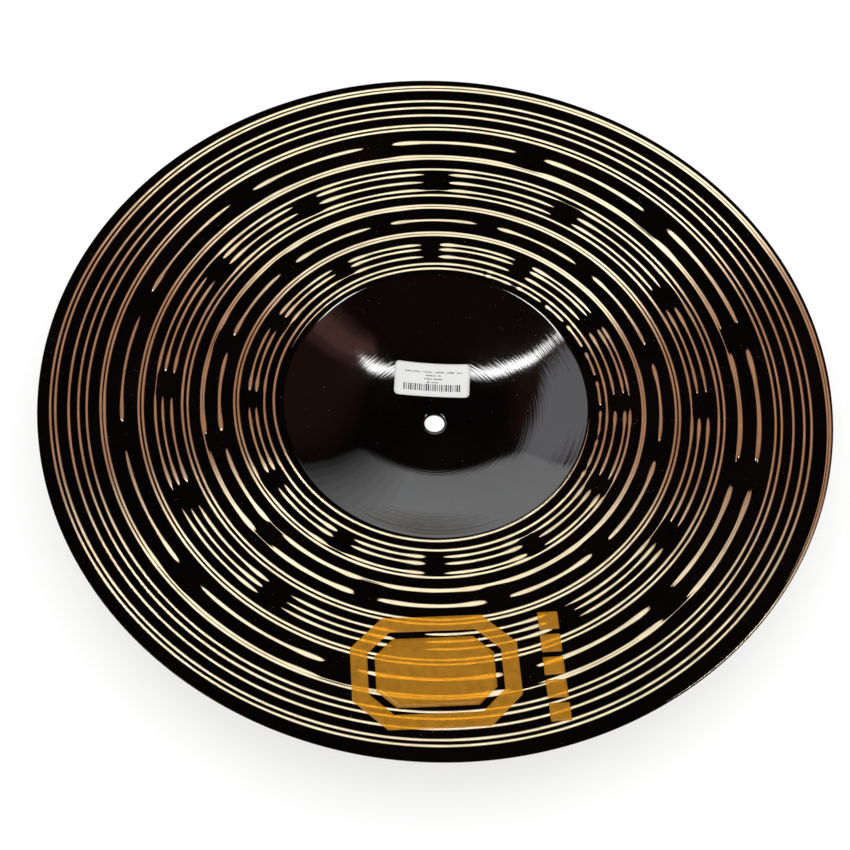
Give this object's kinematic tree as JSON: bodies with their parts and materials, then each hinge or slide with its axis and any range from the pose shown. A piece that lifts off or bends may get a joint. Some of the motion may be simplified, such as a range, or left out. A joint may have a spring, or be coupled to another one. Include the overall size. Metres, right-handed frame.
{
  "type": "crash cymbal",
  "caption": "Hammered and lathed crash cymbal with a dark coat, bright bronze spiral lathe lines, a printed badge and a paper label, lying bell down.",
  "frame": {"origin": "centre of the mounting hole, on the plane of the bell's flat crown that the cymbal rests on", "axes": "+Z along the hole's axis, out of the concave side; the printed badge is towards -Y and the label towards +Y"},
  "size_m": [0.4572, 0.4572, 0.0491],
  "materials": {
    "dark_bronze": "glossy dark coat over bronze",
    "lathed_bronze": "bare lathe-cut bronze",
    "amber_ink": "translucent printed ink",
    "adhesive": "clear adhesive film",
    "label_paper": "coated white paper",
    "label_ink": "printed black ink"
  },
  "bodies": {
    "root": {"cymbal_disc": "dark_bronze", "printed_emblem": "amber_ink", "printed_side_bars": "amber_ink", "label_adhesive": "adhesive", "label_paper": "label_paper", "label_barcode": "label_ink", "label_text_lines": "label_ink"}
  },
  "joints": []
}
